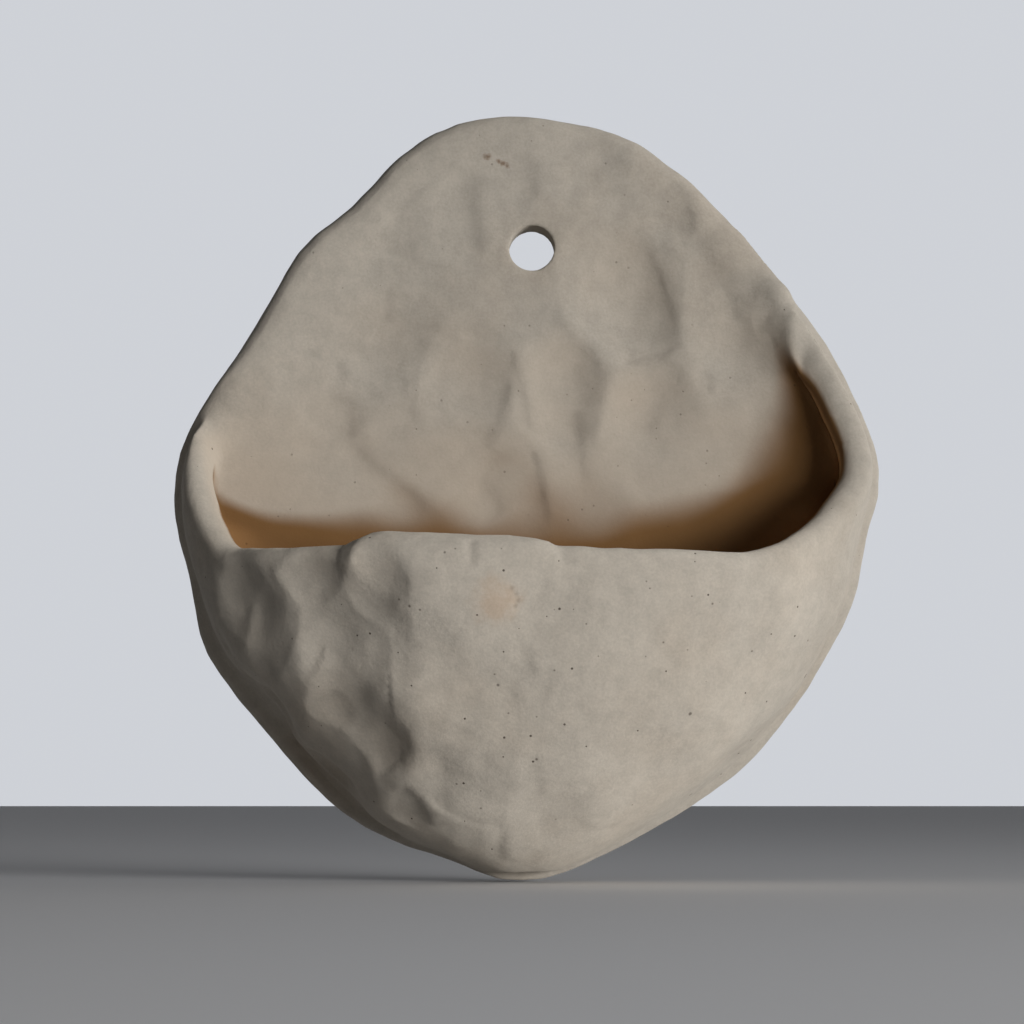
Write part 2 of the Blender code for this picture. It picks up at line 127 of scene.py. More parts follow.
POCKET_LIPS = (
    (1.4, 5, 14, ((-18.5, -49.5), (-19.5, -56), (-20, -64.5), (-20, -73), (-18, -81.5),
                  (-15.5, -88))),
    (0.15, 0.8, 2.5, ((-17.5, -52.5), (-17.5, -57.5), (-18, -62))),
    (0.15, 0.4, 2, ((-9, -57), (-9, -59.5), (-10.5, -61), (-12, -62))),
    (0.4, 1, 3.5, ((3.5, -50.5), (2.5, -53.5), (1.5, -56), (-0.5, -58), (-3, -58.5))),
    (0.15, 0.4, 2, ((-1.5, -62), (-0.5, -64.5), (0, -67))),
    (0.15, 0.6, 2, ((3, -65.5), (2.5, -68), (1.5, -71.5))),
    (0.15, 0.7, 2, ((9.5, -56), (9.5, -59.5), (8, -63))),
    (0.15, 0.6, 2, ((-2.5, -67.5), (-3, -70), (-3.5, -72.5))),
    (0.3, 0.6, 2, ((-30, -62.5), (-31, -64.5), (-33, -67.5))),
    (0.25, 0.6, 3, ((-21.5, -73), (-19.5, -74.5), (-17.5, -75.5), (-18, -77.5), (-20, -79.5),
                     (-22.5, -81.5))),
    (0.4, 1, 3, ((-18.5, -82.5), (-16, -85), (-15, -88))),
    (-0.25, 0.6, 3, ((-15.5, -83.5), (-12.5, -86), (-9, -88), (-4.5, -89))),
    (0.2, 0.8, 2.5, ((0.5, -77.5), (1, -83.5))),
    (0.2, 1, 2.5, ((-12, -67.5), (-11.5, -70), (-13, -73), (-9.5, -74.5), (-7.5, -75.5))),
    (0.2, 1, 3, ((5.5, -86.5), (9, -88.5), (12, -87.5))),
    (0.3, 0.8, 2.5, ((-4, -89), (-4.5, -93))),
    (0.5, 2, 6, ((34.5, -53.5), (33, -59.5), (30.5, -63.5), (27, -68), (24, -71))),
    (0.4, 1.6, 5, ((44, -51), (43, -57), (41, -63))),
)

# Dishes of the fingertips in millimetres: depth, across, up, half width, half height, how far
# they are turned in degrees anticlockwise, and how softly their right side runs out
SLAB_DISHES = (
    (1.75, 14, -6.5, 10.5, 13, 15, 0), (1.3, 4.5, -22, 8, 10.5, 0, 0),
    (0.85, -10, -22, 8, 12, -10, 0), (0.85, 8, 13, 8, 8, 0, 0), (0.85, 19, 6, 6.5, 8, 20, 0),
    (1.1, 20, -28, 11, 12, 0, 1), (0.7, 27, -10, 6, 9, 20, 0), (0.7, -3, -38, 8, 10, 0, 0),
    (0.7, -20, -33, 9, 10, 20, 0), (0.7, -30, -20, 9, 12, -20, 0), (0.7, -20, -8, 9, 12, 0, 0),
    (0.55, -15, 5, 8, 10, 0, 0), (0.55, -4, 10, 7, 8, 0, 1), (0.55, 0, -9, 7, 8, 0, 0),
    (0.55, 8, -38, 8, 9, 0, 0), (0.55, -38, -32, 9, 10, 0, 1),
)
POCKET_DISHES = (
    (1.2, -21.5, -53.4, 5.6, 6, 0, 1), (0.95, -32.2, -52.6, 4.6, 4.2, 0, 0),
    (0.8, -37.8, -59.8, 3.8, 8, -15, 0), (0.9, -27, -64.7, 6.6, 7.5, -8, 0),
    (0.7, -29.5, -71, 4, 3.8, 0, 0), (0.9, -29, -80, 4.6, 8.5, 25, 0),
    (0.6, -20.4, -76.8, 3.9, 4.6, -10, 0), (0.5, -17.2, -85.4, 5, 4, 30, 1),
    (0.35, -7.2, -82.5, 4, 5, 0, 0), (0.5, -44, -56.2, 3, 9, -10, 0), (0.3, -1, -54.1, 6, 5, 0, 0),
    (0.3, 28, -61, 10, 11, -30, 0), (0.25, -11.3, -70.4, 8, 10, 0, 1),
    (0.25, 10.7, -79, 10, 9, 0, 1),
)

# How sharp the crest between two dishes is, in parts of a millimetre
CREST = 13.0

# Strokes of a wet finger in millimetres: across, up, radius, passes. The last ones move the clay
# almost only in and out
WET_STROKES = (
    (-10, -60.5, 7, 80), (-16, -60, 7, 80), (-4, -59.5, 6, 80), (1.5, -56.5, 5, 60),
    (-25, -58.5, 9, 120), (-28, -66, 10, 60), (-24, -78, 10, 60),
    (-20, -74, 9, 120), (-37, -60, 8, 40), (-33, -72, 8, 40), (-49, -28, 6, 100),
    (40, -13, 7, 60),
)
LAST_STROKES = ((34, -4, 5, 80), (37, -10, 3.5, 40), (43, -20, 3, 15), (-48.5, -25.5, 6, 400))
ALL_WAYS = (1.0, 1.0, 1.0)
IN_AND_OUT = (0.05, 1.0, 0.05)

# Banks of clay smeared up against the wall inside the pocket, in millimetres: height, half width
# of the slope, points of its middle
BANKS = (
    (2.1, 3.7, ((32.5, -5), (35, -10), (37.5, -16), (40, -21.5), (41.5, -27), (42, -32),
                (40.5, -36.5), (36.5, -41))),
)

# Grooves in millimetres: depth (less than zero raises a ridge), half width, points of the line
GROOVES = (
    (0.35, 0.5, ((10.5, -18.5), (14, -17.5), (17.5, -16), (23.5, -15))),
    (0.3, 0.7, ((-9, -47.5), (-9, -49.5), (-8.5, -51.5))),
    (0.2, 1.8, ((46, -26.5), (46.5, -31.5))),
    (0.12, 0.35, ((-3, -54.5), (-2, -56), (-2.5, -57.5))),
    (0.8, 1.2, ((-46.5, -57.5), (-42.5, -67), (-38, -71.5), (-33.5, -78), (-32, -80.5),
                (-25.5, -86), (-20, -90))),
    (0.25, 1.2, ((45.5, -55), (44, -62.5), (39, -71), (32, -78))),
)

# How a finger works: its pull on each place, how it fades where the clay turns away from it, and
# the share of a line in which a stroke starts and runs out
PULL = 0.7
TURN_AWAY = 0.3
RUN_OUT = 0.18
SMEAR_PASSES = 400

# The clay sways a little under every line and dish: seed, waves in a metre, and how far it sways
SWAY_SEED = 7
SWAY_WAVES = 120.0
SWAY = 0.00042

# Waves of the hand: long and short ones in a metre, and the short ones' share
LONG_WAVES = 95.0
SHORT_WAVES = 260.0
SHORT_SHARE = 0.45

# Rays from each place inside the pocket, how far off the clay they start, how they turn from one
# to the next, and how often their count is shared with the neighbours
RAYS = 20
RAY_START = 0.0003
GOLDEN_TURN = math.pi * (3.0 - math.sqrt(5.0))
SHARINGS = 40
SHARED = 0.6


class ClaySizes(PropertyGroup):
    """Sizes of the clay's surface that a potter would vary."""

    fineness: FloatProperty(
        name="Clay fineness", description="Size of the facets that the clay is kneaded into",
        default=0.00055, min=0.0003, max=0.002, precision=5, subtype="DISTANCE", unit="LENGTH")
    swelling: FloatProperty(
        name="Joint swelling", description="How far the wet pieces swell to close their joints",
        default=0.0002, min=0.0, max=0.0005, precision=5, subtype="DISTANCE", unit="LENGTH")
    hole_radius: FloatProperty(
        name="Hole radius", description="Radius of the hanging hole",
        default=0.0035, min=0.001, max=0.006, precision=4, subtype="DISTANCE", unit="LENGTH")
    smear: FloatProperty(
        name="Smear", description="How far the coil is smeared over the joint in the pocket",
        default=0.008, min=0.001, max=0.012, precision=4, subtype="DISTANCE", unit="LENGTH")
    skin: FloatProperty(
        name="Skin", description="Thickness of the lap and the coil where they show",
        default=0.0005, min=0.0002, max=0.001, precision=5, subtype="DISTANCE", unit="LENGTH")
    press: FloatProperty(
        name="Press", description="Strength of the banks, dishes, lips and grooves",
        default=1.0, min=0.0, max=2.0, subtype="FACTOR")
    wobble: FloatProperty(
        name="Wobble", description="Depth of the uneven waves left by the hand",
        default=0.0003, min=0.0, max=0.001, precision=5, subtype="DISTANCE", unit="LENGTH")
    grain: FloatProperty(
        name="Grain", description="Depth of the sandy grain of the fired clay",
        default=0.00006, min=0.0, max=0.0003, precision=6, subtype="DISTANCE", unit="LENGTH")
    pit: FloatProperty(
        name="Pit", description="Depth of the pits where the iron specks are",
        default=0.00012, min=0.0, max=0.0005, precision=6, subtype="DISTANCE", unit="LENGTH")


class ClayColours(PropertyGroup):
    """Colours of the fired clay and its marks, and of the painted shade and bounce light in the
    pocket.
    """

    clay: FloatVectorProperty(
        name="Clay", description="Colour of the fired clay", size=3, subtype="COLOR",
        default=(0.50, 0.452, 0.385), min=0.0, max=1.0)
    warm: FloatVectorProperty(
        name="Warm clay", description="Colour where the kiln left the clay warmer", size=3,
        subtype="COLOR", default=(0.47, 0.40, 0.32), min=0.0, max=1.0)
    speck: FloatVectorProperty(
        name="Specks", description="Colour of the small iron specks", size=3, subtype="COLOR",
        default=(0.035, 0.02, 0.012), min=0.0, max=1.0)
    # Painted bounce light: warm light reflected from the pocket, painted low on the slab
    painted_bounce: FloatVectorProperty(
        name="Painted bounce light", description="Painted warm light reflected from the pocket, low on the slab",
        size=3, subtype="COLOR", default=(0.51, 0.43, 0.34), min=0.0, max=1.0)
    # Painted shade: a dark warm brown painted deep in the pocket
    painted_shade: FloatVectorProperty(
        name="Painted shade", description="Painted shade deep in the pocket, a dark warm brown",
        size=3, subtype="COLOR", default=(0.21, 0.108, 0.038), min=0.0, max=1.0)
    # Painted bounce light: a warm orange painted where the pocket's shade is deepest
    painted_deep_bounce: FloatVectorProperty(
        name="Painted deep bounce light", description="Painted warm bounce light at the very bottom of the pocket", size=3,
        subtype="COLOR", default=(0.52, 0.29, 0.12), min=0.0, max=1.0)
    stain: FloatVectorProperty(
        name="Stain", description="Colour of the peach stain under the rim", size=3,
        subtype="COLOR", default=(0.50, 0.33, 0.20), min=0.0, max=1.0)
    brown: FloatVectorProperty(
        name="Brown mark", description="Colour of the small brown mark over the hanging hole",
        size=3, subtype="COLOR", default=(0.16, 0.09, 0.045), min=0.0, max=1.0)


class StageSettings(PropertyGroup):
    """Camera, lamp, floor and background of the studio."""

    target: FloatVectorProperty(
        name="Target", description="Place that the camera looks at", size=3,
        subtype="TRANSLATION", unit="LENGTH", default=(-0.003, -0.007, -0.0407), precision=4)
    distance: FloatProperty(
        name="Distance", description="Distance from the camera to its target",
        default=0.5, min=0.2, max=3.0, subtype="DISTANCE", unit="LENGTH")
    lens: FloatProperty(
        name="Lens", description="Focal length", default=115.66, min=20.0, max=300.0,
        unit="CAMERA")
    elevation: FloatProperty(
        name="Elevation", description="Angle of the camera over the pocket",
        default=math.radians(-5.0), subtype="ANGLE", unit="ROTATION")
    key_power: FloatProperty(
        name="Key lamp", description="Power of the soft lamp on the right", default=7.7,
        min=0.0, max=100.0, unit="POWER")
    key_place: FloatVectorProperty(
        name="Key lamp place", description="Place of the soft lamp", size=3,
        subtype="TRANSLATION", unit="LENGTH", default=(0.604, -0.682, -0.005), precision=4)
    key_target: FloatVectorProperty(
        name="Key lamp target", description="Place that the soft lamp points at", size=3,
        subtype="TRANSLATION", unit="LENGTH", default=(0.0, -0.015, -0.04), precision=4)
    key_width: FloatProperty(
        name="Key lamp width", description="Width of the soft lamp", default=0.5, min=0.01,
        max=2.0, subtype="DISTANCE", unit="LENGTH")
    key_height: FloatProperty(
        name="Key lamp height", description="Height of the soft lamp", default=0.18, min=0.01,
        max=2.0, subtype="DISTANCE", unit="LENGTH")
    fill: FloatProperty(
        name="Fill", description="Strength of the light from all round", default=0.057, min=0.0,
        max=1.0, subtype="FACTOR")
    floor_reach: FloatProperty(
        name="Floor reach", description="How far the floor goes from its middle each way",
        default=6.0, min=0.5, max=20.0, subtype="DISTANCE", unit="LENGTH")
    floor: FloatVectorProperty(
        name="Floor", description="Colour of the studio floor", size=3, subtype="COLOR",
        default=(0.88, 0.88, 0.89), min=0.0, max=1.0)
    background: FloatVectorProperty(
        name="Background", description="Colour of the plain background", size=3,
        subtype="COLOR", default=(0.62, 0.64, 0.68), min=0.0, max=1.0)


def smooth_step(share):
    """Nothing below zero, one above one, and a soft rise between them."""
    share = np.clip(share, 0.0, 1.0)
    return share * share * (3.0 - 2.0 * share)


def tree_of(mesh):
    """A search tree of a mesh's faces."""
    bm = bmesh.new()
    bm.from_mesh(mesh)
    tree = BVHTree.FromBMesh(bm)
    bm.free()
    return tree


def touch(tree, across, up):
    """Where a fingertip from the front touches the clay, and which way that place faces."""
    start = Vector((across * MM, BEFORE_THE_CLAY, up * MM))
    place, out, _, _ = tree.ray_cast(start, TO_THE_WALL)
    if place is None:
        raise RuntimeError(f"no clay under the fingertip at {across}, {up} mm")
    return place, out


class Clay:
    """The joined clay as arrays of places and outward directions, shaped by strokes."""

    def __init__(self, mesh):
        self.mesh = mesh
        count = len(mesh.vertices)
        self.place = np.empty(count * 3)
        mesh.vertices.foreach_get("co", self.place)
        self.place = self.place.reshape(count, 3)
        noise.seed_set(SWAY_SEED)
        self.sway = np.array([noise.noise_vector(Vector(p) * SWAY_WAVES) for p in self.place])
        self.sway *= SWAY
        edges = np.empty(len(mesh.edges) * 2, dtype=np.int64)
        mesh.edges.foreach_get("vertices", edges)
        self.edges = edges.reshape(-1, 2)
        self.links = np.bincount(edges, minlength=count)
        self.settle()

    def settle(self):
        """Put the moved places back on the mesh and read its outward directions again."""
        self.mesh.vertices.foreach_set("co", self.place.ravel())
        self.mesh.update()
        out = np.empty(self.place.size)
        self.mesh.vertex_normals.foreach_get("vector", out)
        self.out = out.reshape(self.place.shape)
        self.tree = tree_of(self.mesh)

    def facing(self, out, least=0.0):
        """One where the clay faces the same way, nothing where it faces away."""
        return smooth_step((self.out @ np.array(out) - least) / TURN_AWAY)

    def off_hole(self, radius):
        """Nothing within that radius round the hanging hole's axis, one well outside it."""
        off = np.linalg.norm(self.place[:, (0, 2)], axis=1) - radius
        return smooth_step(off / COME_BACK)

    def line(self, points):
        """The places under a line drawn on the clay from the front, with its corners rounded."""
        places = [np.array(touch(self.tree, *point)[0]) for point in points]
        for _ in range(2):
            cut = [places[0]]
            for a, b in zip(places, places[1:]):
                cut += [0.75 * a + 0.25 * b, 0.25 * a + 0.75 * b]
            places = cut + [places[-1]]
        return np.array(places)

    def along(self, points, reach):
        """The clay near a line: which of it, how far to the line's left hand, how it fades."""
        line = self.line(points)
        out = touch(self.tree, *points[len(points) // 2])[1]
        low, high = line.min(axis=0) - reach, line.max(axis=0) + reach
        near = np.flatnonzero(((self.place > low) & (self.place < high)).all(axis=1))
        spot = self.place[near] + self.sway[near]
        gap = np.full(len(near), 1.0)
        left = np.zeros(len(near))
        share = np.zeros(len(near))
        for i, (a, b) in enumerate(zip(line, line[1:])):
            step = b - a
            off = spot - a
            part = np.clip(off @ step / (step @ step), 0.0, 1.0)
            miss = np.linalg.norm(off - np.outer(part, step), axis=1)
            closer = miss < gap
            gap = np.where(closer, miss, gap)
            left = np.where(closer, np.sign(off @ np.cross(out, step)) * miss, left)
            share = np.where(closer, (i + part) / (len(line) - 1), share)
        fade = smooth_step(np.minimum(share, 1.0 - share) / RUN_OUT) * self.facing(out)[near]
        return near, left, fade

    def lip(self, rise, half, reach, points):
        """Leave the lip of a fingertip's press: a step with soft sides."""
        near, left, fade = self.along(points, 3.0 * reach * MM)
        left = left / MM
        push = 0.5 * rise * np.tanh(left / half) * np.exp(-(left / reach) ** 2) * fade
        self.place[near] += self.out[near] * (push * MM)[:, None]

    def dishes(self, rows, press):
        """Leave the dishes of the fingertips, with a soft crest where two of them meet."""
        total = np.ones(len(self.place))
        for depth, across, up, wide, high, turn, soft in rows:
            centre, out = touch(self.tree, across, up)
            off = (self.place - np.array(centre) + self.sway) / MM
            cos, sin = math.cos(math.radians(turn)), math.sin(math.radians(turn))
            right = (off[:, 0] * cos + off[:, 2] * sin) / wide
            bowl = 1.0 - right ** 2 - ((off[:, 2] * cos - off[:, 0] * sin) / high) ** 2
            soft = 1.0 + soft * smooth_step(right + 0.5)
            bowl = np.where(bowl > 0.0, np.abs(bowl) ** soft, bowl)
            near = smooth_step(2.0 - 2.0 * np.abs(off[:, 1]) / max(wide, high))
            total += np.exp(CREST * depth * press * bowl) * near * self.facing(out)
        self.place -= self.out * (np.log(total) / CREST * MM)[:, None]

    def bank(self, height, half, points):
        """Raise the slab's face to the left hand of a line, up to the wall and no further."""
        near, left, fade = self.along(points, 4.0 * half * MM)
        left = left / MM / half
        push = height * smooth_step(0.5 + 0.5 * left) * (1.0 - smooth_step(left - 1.0)) * fade
        ahead = (self.line(points)[:, 1].mean() - self.place[near, 1]) / MM
        push *= 1.0 - smooth_step((ahead - 1.0) / 3.0)
        self.place[near, 1] -= push * MM

    def groove(self, depth, half, points):
        """Draw a groove, or raise a ridge."""
        near, left, fade = self.along(points, 3.0 * half * MM)
        push = depth * np.exp(-(left / (half * MM)) ** 2) * fade
        self.place[near] -= self.out[near] * (push * MM)[:, None]

    def relax(self, share, passes, ways=ALL_WAYS):
        """Draw each place towards the middle of its neighbours, by its own share."""
        edges = self.edges[(share[self.edges] > 0.0).any(axis=1)]
        used, ends = np.unique(edges, return_inverse=True)
        a, b = ends.reshape(-1, 2).T
        some, part, links = self.place[used], share[used, None], self.links[used, None]
        total = np.empty_like(some)
        for _ in range(passes):
            for axis in range(3):
                total[:, axis] = (np.bincount(a, some[b, axis], len(some))
                                  + np.bincount(b, some[a, axis], len(some)))
            some += (total / links - some) * part * ways
        self.place[used] = some

    def soothe(self, across, up, radius, passes, ways=ALL_WAYS):
        """Stroke a place with a wet finger until its edges run out."""
        centre, out = touch(self.tree, across, up)
        gap = np.linalg.norm(self.place - np.array(centre), axis=1) / (radius * MM)
        self.relax((1.0 - smooth_step(gap)) * self.facing(out, -0.2) * PULL, passes, ways)

    def inward(self):
        """One where the clay faces the middle of the pocket, nothing on its outside."""
        ray = np.array(POCKET_MIDDLE) - self.place
        ray /= np.linalg.norm(ray, axis=1)[:, None]
        return smooth_step((ray * self.out).sum(axis=1) / 0.2)

    def smear_joint(self, coil, reach):
        """Smear the coil into the slab and the wall with a wet finger."""
        gaps = [coil.find_nearest(place, reach)[3] for place in self.place]
        self.by_coil = np.array([gap is not None for gap in gaps])
        gap = np.array([gap or 0.0 for gap in gaps])
        share = (1.0 - smooth_step(gap / reach)) * self.by_coil * self.inward() * PULL
        self.relax(share, SMEAR_PASSES)

    def shelter(self, hole_radius):
        """How much of the open air round each place inside the pocket is shut off by clay."""
        closed = np.zeros(len(self.place))
        leans = [math.asin(math.sqrt((i + 0.5) / RAYS)) for i in range(RAYS)]
        fan = [Vector((math.sin(lean) * math.cos(GOLDEN_TURN * i),
                       math.sin(lean) * math.sin(GOLDEN_TURN * i), math.cos(lean)))
               for i, lean in enumerate(leans)]
        for i in np.flatnonzero((self.inward() > 0.0) | self.by_coil):
            place, out = Vector(self.place[i]), Vector(self.out[i])
            aim = out.to_track_quat("Z", "Y") @ Quaternion((0.0, 0.0, 1.0), GOLDEN_TURN * i)
            start = place + out * RAY_START
            closed[i] = sum(self.tree.ray_cast(start, aim @ ray)[0] is not None for ray in fan)
        closed *= self.off_hole(hole_radius + NO_PAINTED_SHADE) / RAYS
        a, b = self.edges.T
        for _ in range(SHARINGS):
            total = np.bincount(a, closed[b], len(closed)) + np.bincount(b, closed[a], len(closed))
            closed = (1.0 - SHARED) * closed + SHARED * total / self.links
        return closed


def merged_copy(node, swelling):
    """A closed copy of a solid of the frame, swollen a little so that its joints close."""
    bm = bmesh.new()
    bm.from_mesh(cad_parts[node].data)
    bmesh.ops.remove_doubles(bm, verts=bm.verts, dist=SAME_PLACE)
    bm.normal_update()
    moves = [vertex.normal * swelling for vertex in bm.verts]
    for vertex, move in zip(bm.verts, moves):
        vertex.co += move
    return bm


def knead(sizes):
    """Join copies of the four solids into one skin of even small facets."""
    lump = bmesh.new()
    for node in NODES:
        bm = merged_copy(node, sizes.swelling)
        piece = bpy.data.meshes.new(node + "_copy")
        bm.to_mesh(piece)
        bm.free()
        lump.from_mesh(piece)
        bpy.data.meshes.remove(piece)
    mesh = bpy.data.meshes.new("lump")
    lump.to_mesh(mesh)
    lump.free()
    body = bpy.data.objects.new("lump", mesh)
    bpy.context.scene.collection.objects.link(body)
    remesh = body.modifiers.new("knead", "REMESH")
    remesh.mode = "VOXEL"
    remesh.voxel_size = sizes.fineness
    stroke = body.modifiers.new("stroke", "SMOOTH")
    stroke.factor = 0.5
    stroke.iterations = KNEAD_STROKES
    graph = bpy.context.evaluated_depsgraph_get()
    skin = bpy.data.meshes.new_from_object(body.evaluated_get(graph))
    skin.name = "wet_clay"
    bpy.data.objects.remove(body)
    bpy.data.meshes.remove(mesh)
    return skin


def true_hole(clay, radius):
    """Give the hanging hole its true round wall again."""
    flat = clay.place[:, (0, 2)]
    reach = np.linalg.norm(flat, axis=1)
    inward = -(clay.out[:, (0, 2)] * flat).sum(axis=1) / np.maximum(reach, SAME_PLACE)
    wall = (reach < radius + HOLE_EDGE) & (inward > 0.6)
    clay.place[:, 0] = np.where(wall, flat[:, 0] * radius / reach, flat[:, 0])
    clay.place[:, 2] = np.where(wall, flat[:, 1] * radius / reach, flat[:, 1])


def uneven(clay, depth, hole_radius):
    """Waves of the hand all over the clay, but not on the back or in the hanging hole."""
    waves = np.array([
        noise.noise(Vector(p) * LONG_WAVES) + SHORT_SHARE * noise.noise(Vector(p) * SHORT_WAVES)
        for p in clay.place
    ])
    off_wall = smooth_step((-clay.place[:, 1] - 0.0004) / 0.002)
    push = waves * off_wall * clay.off_hole(hole_radius + NO_WAVES) * depth
    clay.place += clay.out * push[:, None]


def flatten_back(clay):
    """Lay the back flat on the wall again."""
    back = (clay.place[:, 1] > -0.0003) & (clay.out[:, 1] > 0.8)
    clay.place[:, 1] = np.where(back, 0.0, clay.place[:, 1])


class Nodes:
    """Short hand for making a material's nodes."""

    def __init__(self, name):
        self.material = bpy.data.materials.new(name)
        self.material.use_nodes = True
        self.nodes = self.material.node_tree.nodes
        self.links = self.material.node_tree.links
        self.shader = self.nodes["Principled BSDF"]
        self.coords = self.nodes.new("ShaderNodeTexCoord").outputs["Object"]

    def link(self, value, socket):
        if isinstance(value, bpy.types.NodeSocket):
            self.links.new(value, socket)
        else:
            socket.default_value = value

    def noise(self, scale, detail=3.0, roughness=0.5):
        node = self.nodes.new("ShaderNodeTexNoise")
        self.link(self.coords, node.inputs["Vector"])
        node.inputs["Scale"].default_value = scale
        node.inputs["Detail"].default_value = detail
        node.inputs["Roughness"].default_value = roughness
        return node.outputs["Fac"]

    def math(self, kind, a, b=0.0, c=0.0):
        node = self.nodes.new("ShaderNodeMath")
        node.operation = kind
        for value, socket in zip((a, b, c), node.inputs):
            self.link(value, socket)
        return node.outputs[0]

    def between(self, value, low, high, start=0.0, end=1.0):
        node = self.nodes.new("ShaderNodeMapRange")
        node.interpolation_type = "SMOOTHSTEP"
        self.link(value, node.inputs["Value"])
        node.inputs["From Min"].default_value = low
        node.inputs["From Max"].default_value = high
        node.inputs["To Min"].default_value = start
        node.inputs["To Max"].default_value = end
        return node.outputs["Result"]

    def mix(self, share, a, b, kind="MIX"):
        node = self.nodes.new("ShaderNodeMix")
        node.data_type = "RGBA"
        node.blend_type = kind
        self.link(share, node.inputs["Factor"])
        self.link(a, node.inputs["A"])
        self.link(b, node.inputs["B"])
        return node.outputs["Result"]

    def specks(self, scale, size, rare):
        """Small round specks in some of the cells of a lattice."""
        cells = self.nodes.new("ShaderNodeTexVoronoi")
        self.link(self.coords, cells.inputs["Vector"])
        cells.inputs["Scale"].default_value = scale
        split = self.nodes.new("ShaderNodeSeparateColor")
        self.link(cells.outputs["Color"], split.inputs["Color"])
        reach = self.between(split.outputs["Green"], 0.0, 1.0, size * 0.55, size)
        edge = self.math("SUBTRACT", reach, cells.outputs["Distance"])
        chosen = self.between(split.outputs["Red"], rare, rare + 0.05)
        return self.math("MULTIPLY", self.between(edge, -0.015, 0.02), chosen)

    def spot(self, place, radius, soft, ragged=0.0, coarse=900.0):
        """One inside a ball round a place, nothing outside it."""
        node = self.nodes.new("ShaderNodeVectorMath")
        node.operation = "DISTANCE"
        self.link(self.coords, node.inputs[0])
        node.inputs[1].default_value = place
        gap = node.outputs["Value"]
        if ragged:
            wander = self.math("SUBTRACT", self.noise(coarse, 3.0), 0.5)
            gap = self.math("MULTIPLY_ADD", wander, ragged * MM, gap)
        return self.between(gap, (radius - soft) * MM, (radius + soft) * MM, 1.0, 0.0)

    def axes(self):
        """The three parts of a place on the clay."""
        node = self.nodes.new("ShaderNodeSeparateXYZ")
        self.link(self.coords, node.inputs[0])
        return node.outputs

    def attribute(self, name):
        node = self.nodes.new("ShaderNodeAttribute")
        node.attribute_name = name
        return node.outputs["Fac"]

    def bump(self, height, strength, distance, normal=None):
        node = self.nodes.new("ShaderNodeBump")
        node.inputs["Strength"].default_value = strength
        node.inputs["Distance"].default_value = distance
        self.link(height, node.inputs["Height"])
        if normal:
            self.link(normal, node.inputs["Normal"])
        return node.outputs["Normal"]


# Marks of the fired clay in millimetres, seen from the front: across, up, and radius except for
# the arc of dots in the stain
SPECKS = (
    (-12.5, -49.5, 0.3), (-11, -49, 0.25), (-4.5, -49, 0.22), (-19, -56, 0.3), (-17.5, -57, 0.35),
    (-16, -57.5, 0.28), (3, -57.5, 0.2), (7.5, -59.5, 0.25), (-5.5, -66.5, 0.25),
    (-5, -68, 0.38), (3, -66, 0.22), (0.5, -72.5, 0.22), (-3.5, -72, 0.25), (0.5, -78.5, 0.35),
    (-7.5, -83, 0.22), (-7.5, -85.5, 0.3), (-11, -82, 0.25), (16, -53.5, 0.2), (16.5, -54.5, 0.2),
    (22.5, -55.5, 0.2), (25.5, -56.5, 0.3), (18.5, -62, 0.22), (16, -64, 0.2), (22, -63, 0.2),
    (31.5, -63, 0.22), (22.5, -72, 0.4), (40.5, -66, 0.75), (23.5, -83.5, 0.6), (14.5, -85, 0.2),
)
BROWN_MARK = ((-7.1, 14.1, 0.4), (-6.5, 14.1, 0.35), (-5, 13.4, 0.3), (-4.3, 13.1, 0.42),
              (-3.8, 12.7, 0.35))
STAIN = (-5.0, -56.3, 2.6)
ARC = ((-3, -54.5), (-2.3, -55.3), (-2.1, -56.2), (-2.5, -57))

# Patterns in the fired clay: scale, detail and roughness of their noise
WARM_PATCHES = (45.0, 4.0, 0.55)
MOTTLE = (420.0, 5.0, 0.6)
DUST = (2600.0, 2.0, 0.6)
SAND = (1500.0, 4.0, 0.65)
LUMPS = (420.0, 3.0, 0.6)

# Specks spread over the clay: cells in a metre, size in a cell, share of the cells without one
FINE_SPECKS = (520.0, 0.1, 0.7)
COARSE_SPECKS = (210.0, 0.05, 0.85)

# Metres between which the painted shade changes: across on the left side of the pocket, across on
# the right side, up to the rim, and towards the back, where its border comes further forward on the
# right
LEFT_SIDE = (-0.046, -0.022)
RIGHT_SIDE = (0.022, 0.042)
RIM_HEIGHT = (-0.044, -0.036)
PAINTED_SHADE_BACK = (-0.021, -0.009)
PAINTED_SHADE_LEAN = 0.3

# Shares of the open air that is shut off, between which the clay gets painted bounce light, painted
# shade, and painted warm bounce light in the deepest shade
PAINTED_BOUNCE_RANGE = (0.06, 0.36)
PAINTED_SHADE_RANGE = (0.31, 0.46)
PAINTED_DEEP_BOUNCE_RANGE = (0.5, 0.75)


def fired_clay(nodes, colours):
    """Chalky clay with warm patches, mottled and dusty, and painted shade that makes it a little
    darker to the back.
    """
    patches = nodes.between(nodes.noise(*WARM_PATCHES), 0.42, 0.72)
    patches = nodes.math("MULTIPLY", patches, 0.45)
    colour = nodes.mix(patches, (*colours.clay, 1.0), (*colours.warm, 1.0))
    mottle = nodes.between(nodes.noise(*MOTTLE), 0.3, 0.7, 0.94, 1.05)
    colour = nodes.mix(1.0, colour, mottle, "MULTIPLY")
    dust = nodes.between(nodes.noise(*DUST), 0.3, 0.7, 0.95, 1.04)
    colour = nodes.mix(1.0, colour, dust, "MULTIPLY")
    across, deep, _ = nodes.axes()
    # Painted shade: up to 0.14 darker towards the back, with the border further forward on the
    # right
    painted_shade_depth = nodes.math("MULTIPLY_ADD", across, PAINTED_SHADE_LEAN, deep)
    return nodes.mix(1.0, colour, nodes.between(painted_shade_depth, *PAINTED_SHADE_BACK, 1.0, 0.86), "MULTIPLY")


